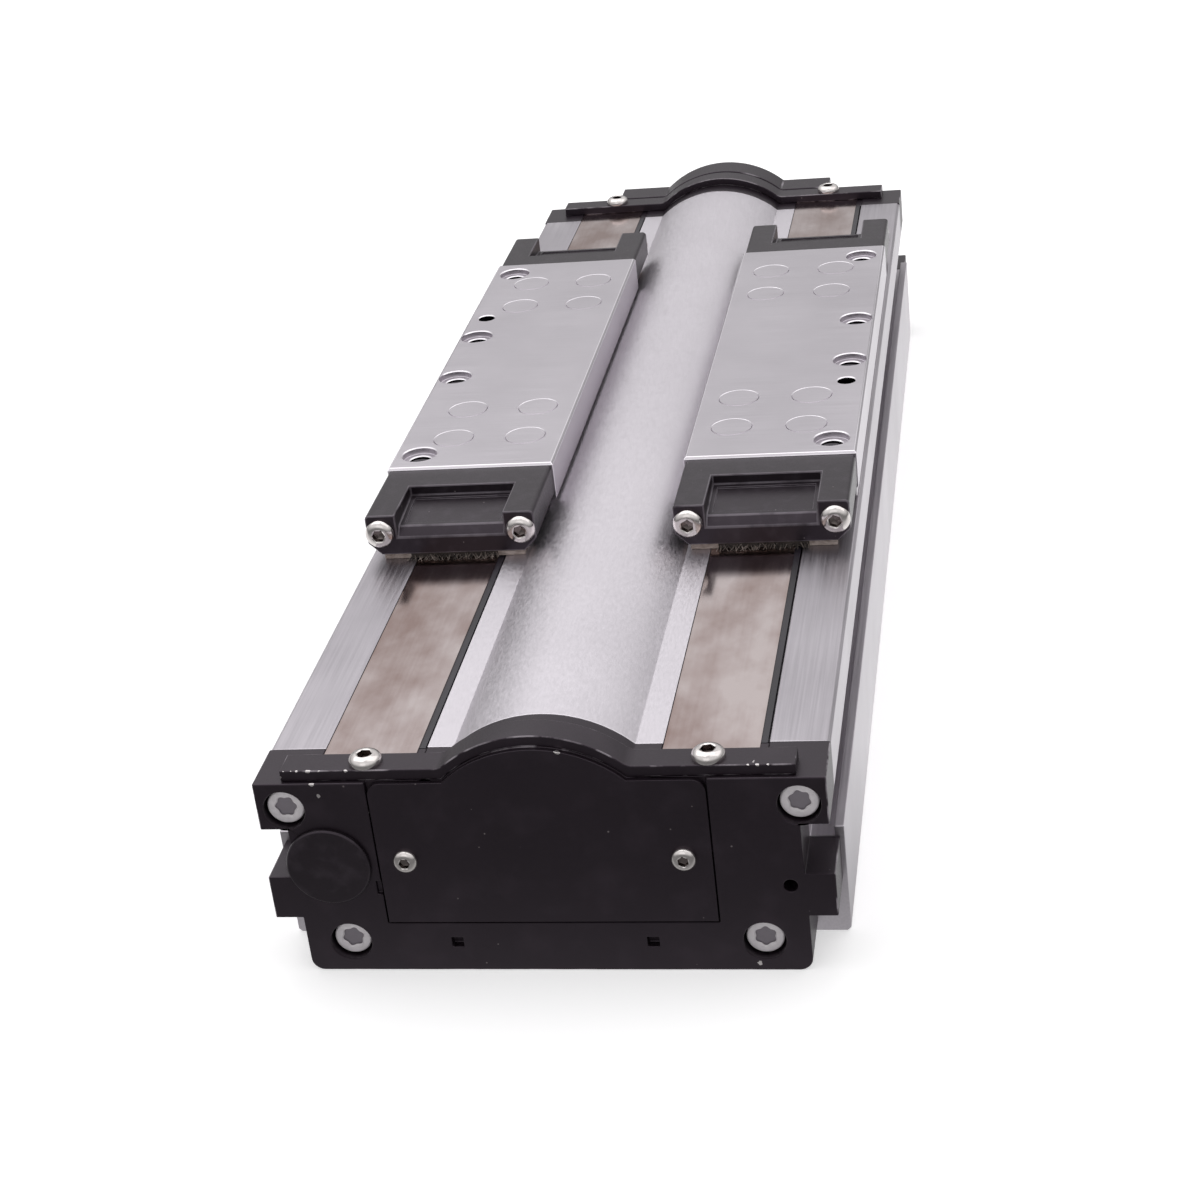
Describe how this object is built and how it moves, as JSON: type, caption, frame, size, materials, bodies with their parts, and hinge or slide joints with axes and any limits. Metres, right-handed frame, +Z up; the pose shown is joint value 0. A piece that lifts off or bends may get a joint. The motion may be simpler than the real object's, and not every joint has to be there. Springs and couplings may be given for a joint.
{
  "type": "linear positioning stage",
  "caption": "Ball screw linear stage: slotted extruded base with arched cover and steel sealing bands, guided carriage with two drilled mounting plates, bare drive shaft.",
  "frame": {"origin": "middle of the base face, at mid-length between the end blocks' outer faces", "axes": "+Z up from the base face, +Y along the travel towards the drive end, +X to the right seen from the end with the cover plate"},
  "size_m": [0.129, 0.4216, 0.063],
  "materials": {
    "profile_aluminium": "clear anodised extrusion, brushed along its length",
    "cover_aluminium": "satin clear anodised",
    "plate_aluminium": "fine milled and clear anodised",
    "saddle_aluminium": "milled",
    "black_anodised": "black anodised, slightly worn at the edges",
    "black_plastic": "moulded, fine eggshell texture",
    "shoe_plastic": "machined white acetal",
    "felt": "oiled brown felt",
    "band_steel": "rolled stainless strip",
    "magnet_strip": "filled magnetic strip",
    "bumper_rubber": "cast polyurethane",
    "zinc_steel": "zinc plated, matt",
    "bright_steel": "bright stainless",
    "black_steel": "black oxide",
    "ground_steel": "ground and polished"
  },
  "bodies": {
    "base": {"access_plug": "black_plastic", "band_clamp_screws": "bright_steel", "base_profile": "profile_aluminium", "centre_cover": "cover_aluminium", "cover_band_left": "band_steel", "cover_band_right": "band_steel", "cover_foot_screws": "black_steel", "cover_plate_screws": "bright_steel", "drive_bearing": "ground_steel", "drive_flange": "black_anodised", "end_block_screws": "zinc_steel", "flange_screws": "black_steel", "front_band_clamp": "black_anodised", "front_bearing": "ground_steel", "front_cover_plate": "black_anodised", "front_end_block": "black_anodised", "guide_rail_left": "ground_steel", "guide_rail_right": "ground_steel", "magnet_strips": "magnet_strip", "rail_screws": "black_steel", "rear_band_clamp": "black_anodised", "rear_end_block": "black_anodised", "travel_bumpers": "bumper_rubber"},
    "carriage": {"ball_nut": "ground_steel", "band_cap_front_left": "black_plastic", "band_cap_front_right": "black_plastic", "band_cap_rear_left": "black_plastic", "band_cap_rear_right": "black_plastic", "band_cap_screws": "bright_steel", "band_guide_shoes": "shoe_plastic", "band_wiper_front_left": "felt", "band_wiper_front_right": "felt", "band_wiper_rear_left": "felt", "band_wiper_rear_right": "felt", "block_screws": "black_steel", "carriage_plate_left": "plate_aluminium", "carriage_plate_right": "plate_aluminium", "carriage_saddle": "saddle_aluminium", "guide_block_front_left": "ground_steel", "guide_block_front_right": "ground_steel", "guide_block_rear_left": "ground_steel", "guide_block_rear_right": "ground_steel", "nut_screws": "black_steel", "plate_dowels": "ground_steel", "plate_plugs_left": "plate_aluminium", "plate_plugs_right": "plate_aluminium", "plate_screws": "black_steel", "shoe_screws": "black_steel"},
    "screw": {"ball_screw": "ground_steel", "screw_locknut": "black_steel"}
  },
  "joints": [
    {"name": "carriage_slide", "type": "slide", "parent": "base", "child": "carriage", "axis": [0, 1, 0], "range_m": [-0.095, 0.055], "deforming": ["cover_band_left", "cover_band_right"]},
    {"name": "screw_turn", "type": "hinge", "parent": "base", "child": "screw", "pos_m": [0, 0, 0.0275], "axis": [0, 1, 0], "range_deg": [-1981, 3421]}
  ],
  "couplings": [
    {"joint": "screw_turn", "follows": "carriage_slide", "rad_per_m": -628.32}
  ]
}
